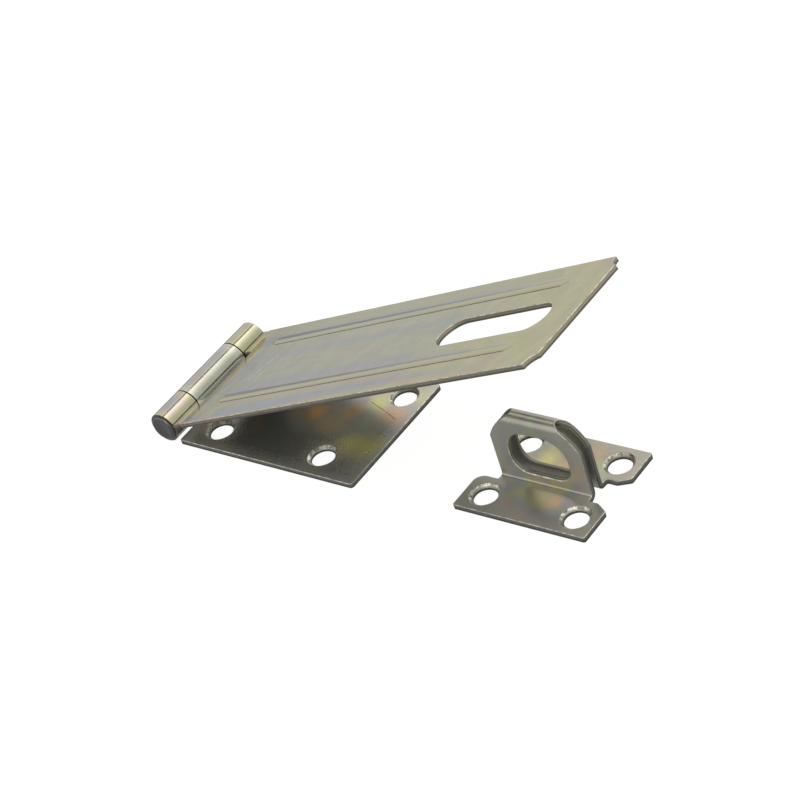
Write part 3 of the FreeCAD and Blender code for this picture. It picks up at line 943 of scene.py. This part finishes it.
def machined(skin, colour, look):
    """Countersinks with tool chatter, sheared walls toned by depth, and dark specks all over."""
    chatter = skin.noise(skin.place, 0.75, 2.0, 0.6, (1, 1, 1), 0.8)
    colour = skin.mix(skin.bored, colour, skin.ramp(chatter, TURNED))
    wave = skin.remap(skin.noise(skin.place, 0.5, 3.0, 0.6), 0.2, 0.8, -0.12, 0.12)
    depth = skin.plus(skin.times(skin.z, -1.0 / look["sheet"]), wave)
    sheared = skin.mix(1.0, skin.ramp(depth, SHEARED), (*look["cut_tint"], 1), "MULTIPLY")
    colour = skin.mix(skin.cut, colour, sheared)
    speck = skin.remap(skin.noise(skin.place, 4.0, 2.0, 0.5), 0.70, 0.76)
    return skin.mix(skin.times(speck, SPECK_STRENGTH), colour, (*SPECK, 1))


def roughness(skin, frost, look):
    """Roughness of the grained film, higher on the flat part, in the frost and on the cut walls."""
    grain = skin.noise(skin.place, 1.6, 3.0, 0.65)
    rough = skin.remap(grain, 0.3, 0.7, look["roughness"] - 0.02, look["roughness"] + 0.03)
    rough = skin.plus(rough, skin.remap(skin.x, *ROUGHNESS_BLEND, 0.0, look["flat_roughness"]))
    rough = skin.plus(rough, skin.times(frost, FROST_ROUGHNESS))
    return skin.plus(rough, skin.times(skin.cut, CUT_ROUGHNESS))


def marked(skin, colour, rough, look):
    """Broken scratches, and creases drawn as thin dark lines of painted shade, on the upper face."""
    upper = skin.remap(skin.z, *UPPER_FACE)
    for start, end, width, light, broken in look["marks"]:
        gaps = skin.remap(skin.noise(skin.place, 1.3, 2.0, 0.6), 0.40, 0.52, 1.0 - broken, 1.0)
        mark = skin.times(skin.times(streak(skin, start, end, width), upper), gaps)
        colour = skin.mix(mark, colour, (light, light * 0.99, light * 0.92, 1))
        rough = skin.plus(rough, skin.times(mark, MARK_ROUGHNESS))
    return colour, rough


def relief(skin):
    """Slow waves of the sheet, with fine peel on the faces and torn grain on the cut walls."""
    waves = skin.bump(skin.noise(skin.place, 0.07, 2.0, 0.5), 0.10, 1.0 * MM)
    torn = skin.noise(skin.place, 1.1, 3.0, 0.7, (1, 1, 0.3))
    peel = skin.noise(skin.place, 1.4, 2.0, 0.5)
    fine = skin.plus(peel, skin.times(torn, skin.times(skin.cut, 2.5)))
    return skin.bump(fine, 0.06, 0.02 * MM, waves)


def zinc(name, **changes):
    """Bright zinc plating with a passivated film; the changes are to the settings in ZINC."""
    look = {**ZINC, **changes}
    material = bpy.data.materials.new(name)
    material.use_nodes = True
    skin = Skin(material.node_tree)
    colour = tinted(skin, film(skin, look), look)
    colour, frost = margins(skin, colour, look)
    colour = machined(skin, colour, look)
    colour, rough = marked(skin, colour, roughness(skin, frost, look), look)
    shader = skin.add("ShaderNodeBsdfPrincipled")
    shader.inputs["Metallic"].default_value = METALLIC
    skin.link(colour, shader.inputs["Base Color"])
    skin.link(rough, shader.inputs["Roughness"])
    skin.link(relief(skin), shader.inputs["Normal"])
    out = skin.add("ShaderNodeOutputMaterial")
    skin.link(shader.outputs[0], out.inputs["Surface"])
    return material


def dress(piece, material, body, node):
    """Give a piece its material, hang it on its body and let it stand for its CAD node."""
    piece.data.materials.clear()
    piece.data.materials.append(material)
    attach(piece, body)
    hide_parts(node)


# ---------------------------------------------------------------- looks of the pieces

def leaf_look():
    # The amber, brown, lime and rose patches are painted reflection of coloured metal
    patches = [(36.7, 0.6, 5.0, AMBER, 0.9), (31.5, -1.7, 5.0, BROWN, 0.9), (44.4, -1.4, 7.0, BROWN, 0.9),
               (60.5, -7.0, 6.5, LIME, 0.9), (59.6, 6.4, 6.5, ROSE, 0.9), (52.5, 9.5, 4.5, LIME, 0.8),
               (62.5, 14.5, 5.0, LIME, 0.6), (53.6, -8.3, 5.0, LIME, 0.85), (47.0, 4.5, 4.5, AMBER, 0.5),
               (28.0, -12.0, 14.0, COOL, 0.8), (45.0, -19.5, 12.0, PALE, 0.7)]
    marks = [((49.2, 9.05), (56.3, 6.7), 0.12, 0.08, 0.3), ((56.0, 6.8), (61.3, 4.55), 0.12, 0.08, 0.3)]
    return zinc("leaf_zinc", ground=COOL, flat_roughness=0.12, bands=0.02, stretch=(1, 1, 1), wander=0.9,
                lean=(0.016, 0.0, 0.0), deep=(8.0, 24.0, 0.95), edge_colour=0.4, rolled_colour=0.7,
                frost=0.55, worn=0.75, patches=patches, marks=marks)


def strap_look():
    strips = []
    marks = []
    for y in RIB_Y:
        # Painted light along each rib's crest and painted shade along its far foot
        strips.append((*RIB_X, y - 0.9, 1.5, RIB_CREST_PAINTED_LIGHT, 0.7))
        strips.append((RIB_X[0], 120.0, y + 1.6, 1.4, RIB_FOOT_PAINTED_SHADE, 0.5))
        # A thin dark line of painted shade along each rib's near foot
        shade_line_y = y - RIB_HALF + RIB_SHADE_LINE_INSET
        marks.append(((RIB_X[0] + RIB_TIP, shade_line_y), (RIB_X[1] - RIB_TIP, shade_line_y), 0.24, 0.10, 0.2))
    strips += [(24.0, 100.0, RIB_Y[0] - 3.4, 1.6, PINK, 0.6), (20.0, 95.0, -18.3, 2.4, BLUE, 0.5),
               (15.0, 95.0, RIB_Y[0] + 3.6, 2.2, LILAC, 0.5), (15.0, 130.0, 18.2, 3.0, OLIVE, 0.7)]
    patches = [(128.0, 7.5, 9.0, YELLOW, 0.6), (118.0, -9.5, 7.0, YELLOW, 0.6),
               (136.0, -10.5, 6.0, YELLOW, 0.6), (97.0, 4.5, 5.0, BLUE, 0.5), (88.0, 19.0, 9.0, OLIVE, 0.5),
               (13.9, 18.5, 3.4, PINK, 0.8), (13.0, 0.5, 3.6, YELLOW, 0.5), (12.6, 10.1, 3.0, YELLOW, 0.6),
               (18.5, -17.8, 4.0, YELLOW, 0.7), (13.9, -17.7, 3.0, PINK, 0.6), (17.5, 3.0, 6.0, BLUE, 0.4),
               (146.0, 19.0, 5.0, PINK, 0.8), (128.0, -17.0, 6.0, PINK, 0.5)]
    marks += [((22.3, -5.2), (25.3, 6.8), 0.16, 0.8, 1.0), ((23.9, -3.2), (27.9, -0.9), 0.14, 0.8, 1.0)]
    return zinc("strap_zinc", tint=0.76, cut_tint=(1.55, 1.45, 1.27), lean=(0.0, -0.008, 0.0),
                warm=(85.0, 130.0, 0.85), edge_colour=1.0, rolled_colour=0.55, patches=patches,
                strips=strips, marks=marks)


def pin_look():
    return zinc("pin_steel", ground=COOL, tint=0.38, rolled_tint=0.38, roughness=0.22, edge_colour=0.0,
                middle_colour=0.0, worn=0.0)


def on_flange(x, y, radius, tone, strength):
    """A patch at a point on either flange of the staple."""
    return x, math.copysign(flange_place(abs(y)), y), radius, tone, strength


def staple_look():
    # Painted shade in the dark olive and dark grey patches on the flanges; painted reflection of coloured
    # metal in the rose, brown, lime and moss patches
    patches = [(0.0, -wall_place(12.0), 16.0, OLIVE, 0.7), on_flange(0.0, 10.0, 26.0, SHADE_OLIVE, 0.7),
               on_flange(10.0, -13.0, 6.0, SHADE_GREY, 0.7), on_flange(1.1, -7.4, 4.5, YELLOW, 0.9),
               on_flange(5.4, -7.4, 3.2, ROSE, 0.8), on_flange(-6.5, -11.0, 3.0, BROWN, 0.5),
               on_flange(-5.2, 6.1, 4.5, LIME, 0.6), on_flange(1.0, 5.6, 4.0, ROSE, 0.5),
               on_flange(6.0, 10.5, 5.0, ROSE, 0.35), on_flange(10.0, 6.5, 5.0, MOSS, 0.6)]
    return zinc("staple_zinc", sheet=STAPLE_SHEET, ground=COOL, roughness=0.30, drift=0.06,
                stretch=(1, 1, 1), edge_colour=0.3, middle_colour=0.7, frost=0.2, worn=0.1,
                patches=patches)


# ---------------------------------------------------------------- studio

# Floor in metres, with its brightness in reflections by distance from the middle: painted shade, darker
# close to the pieces
FLOOR_HALF = 6.0
FLOOR_DROP = 0.00005
FLOOR_MATT = 0.08
FLOOR_GLOW = 0.95
FLOOR_REFLECTED = [(0.08, grey(0.38)), (0.20, grey(0.46)), (0.40, grey(0.72)), (0.95, grey(0.86))]

# Brightness of the studio round the pin's axis, from straight along +X over the top to -X
STUDIO = [(0.0, (0.74, 0.75, 0.66)), (0.11, (0.72, 0.75, 0.64)), (0.26, (0.80, 0.82, 0.72)),
          (0.38, (1.36, 1.31, 1.15)), (0.48, (2.06, 1.99, 1.77)), (0.55, (2.25, 2.17, 1.93)),
          (0.558, grey(0.05)), (0.598, grey(0.05)), (0.606, (1.25, 1.16, 1.06)),
          (0.66, (1.08, 1.01, 0.94)), (0.77, (0.90, 0.86, 0.84)), (1.0, (0.86, 0.86, 0.83))]

# Camera in metres, with its lens and sensor in millimetres
CAMERA_AZIMUTH = math.radians(47.55)
CAMERA_ELEVATION = math.radians(36.29)
CAMERA_ROLL = math.radians(-19.49)
CAMERA_DISTANCE = 0.6845
CAMERA_TARGET = Vector((0.0207, 0.0076, 0.0))
CAMERA_LENS = 115.85
CAMERA_SENSOR = 36.0
CAMERA_SHIFT = (0.0131, 0.0174)
CAMERA_CLIP = 0.05


def floor_look():
    """White with a faint contact shadow to the camera, and darker in reflections close by, as painted shade.
    """
    material = bpy.data.materials.new("pale_floor")
    material.use_nodes = True
    nodes = Nodes(material.node_tree)
    place = nodes.add("ShaderNodeTexCoord").outputs["Object"]
    matt = nodes.add("ShaderNodeBsdfDiffuse")
    matt.inputs["Color"].default_value = (*grey(FLOOR_MATT), 1)
    glow = nodes.add("ShaderNodeEmission")
    glow.inputs["Strength"].default_value = FLOOR_GLOW
    seen = nodes.add("ShaderNodeAddShader")
    nodes.link(matt.outputs[0], seen.inputs[0])
    nodes.link(glow.outputs[0], seen.inputs[1])
    reach = nodes.add("ShaderNodeVectorMath", operation="LENGTH")
    nodes.link(place, reach.inputs[0])
    reflected = nodes.add("ShaderNodeEmission")
    nodes.link(nodes.ramp(reach.outputs["Value"], FLOOR_REFLECTED), reflected.inputs["Color"])
    both = nodes.add("ShaderNodeMixShader")
    nodes.link(nodes.add("ShaderNodeLightPath").outputs["Is Camera Ray"], both.inputs[0])
    nodes.link(reflected.outputs[0], both.inputs[1])
    nodes.link(seen.outputs[0], both.inputs[2])
    out = nodes.add("ShaderNodeOutputMaterial")
    nodes.link(both.outputs[0], out.inputs["Surface"])
    return material


def make_floor():
    corners = [(-FLOOR_HALF, -FLOOR_HALF, 0), (FLOOR_HALF, -FLOOR_HALF, 0),
               (FLOOR_HALF, FLOOR_HALF, 0), (-FLOOR_HALF, FLOOR_HALF, 0)]
    mesh = bpy.data.meshes.new("floor")
    mesh.from_pydata(corners, [], [(0, 1, 2, 3)])
    mesh.materials.append(floor_look())
    floor = bpy.data.objects.new("floor", mesh)
    floor.location.z = -FLOOR_DROP
    bpy.context.scene.collection.objects.link(floor)


def make_world():
    """Soft studio, white to the camera: pale all round, with a broad soft box above and a dark gap by it."""
    world = bpy.data.worlds.new("studio")
    bpy.context.scene.world = world
    world.use_nodes = True
    nodes = Nodes(world.node_tree)
    ray = nodes.split(nodes.add("ShaderNodeTexCoord").outputs["Generated"])
    turn = nodes.math("ARCTAN2", ray["Z"], ray["X"])
    tone = nodes.ramp(nodes.math("DIVIDE", turn, math.pi), STUDIO)
    direct = nodes.add("ShaderNodeLightPath").outputs["Is Camera Ray"]
    glow = nodes.add("ShaderNodeBackground")
    nodes.link(nodes.mix(direct, tone, (*grey(1.0), 1)), glow.inputs["Color"])
    glow.inputs["Strength"].default_value = 1.0
    out = nodes.add("ShaderNodeOutputWorld")
    nodes.link(glow.outputs[0], out.inputs["Surface"])


def make_camera():
    a, e, roll = CAMERA_AZIMUTH, CAMERA_ELEVATION, CAMERA_ROLL
    back = Vector((math.sin(a) * math.cos(e), -math.cos(a) * math.cos(e), math.sin(e)))
    level = Vector((math.cos(a), math.sin(a), 0.0))
    above = back.cross(level)
    right = level * math.cos(roll) + above * math.sin(roll)
    up = above * math.cos(roll) - level * math.sin(roll)
    data = bpy.data.cameras.new("camera")
    data.lens = CAMERA_LENS
    data.sensor_width = CAMERA_SENSOR
    data.shift_x, data.shift_y = CAMERA_SHIFT
    data.clip_start = CAMERA_CLIP
    camera = bpy.data.objects.new("camera", data)
    bpy.context.scene.collection.objects.link(camera)
    place = Matrix((right, up, back)).transposed().to_4x4()
    place.translation = CAMERA_TARGET + back * CAMERA_DISTANCE
    camera.matrix_world = place
    bpy.context.scene.camera = camera


dress(make_leaf(), leaf_look(), "leaf", "base_leaf")
dress(make_strap(), strap_look(), "strap", "strap")
dress(make_pin(), pin_look(), "strap", "hinge_pin")
dress(make_staple(), staple_look(), "staple", "staple")
make_floor()
make_world()
make_camera()
bpy.context.scene.view_settings.view_transform = "Standard"
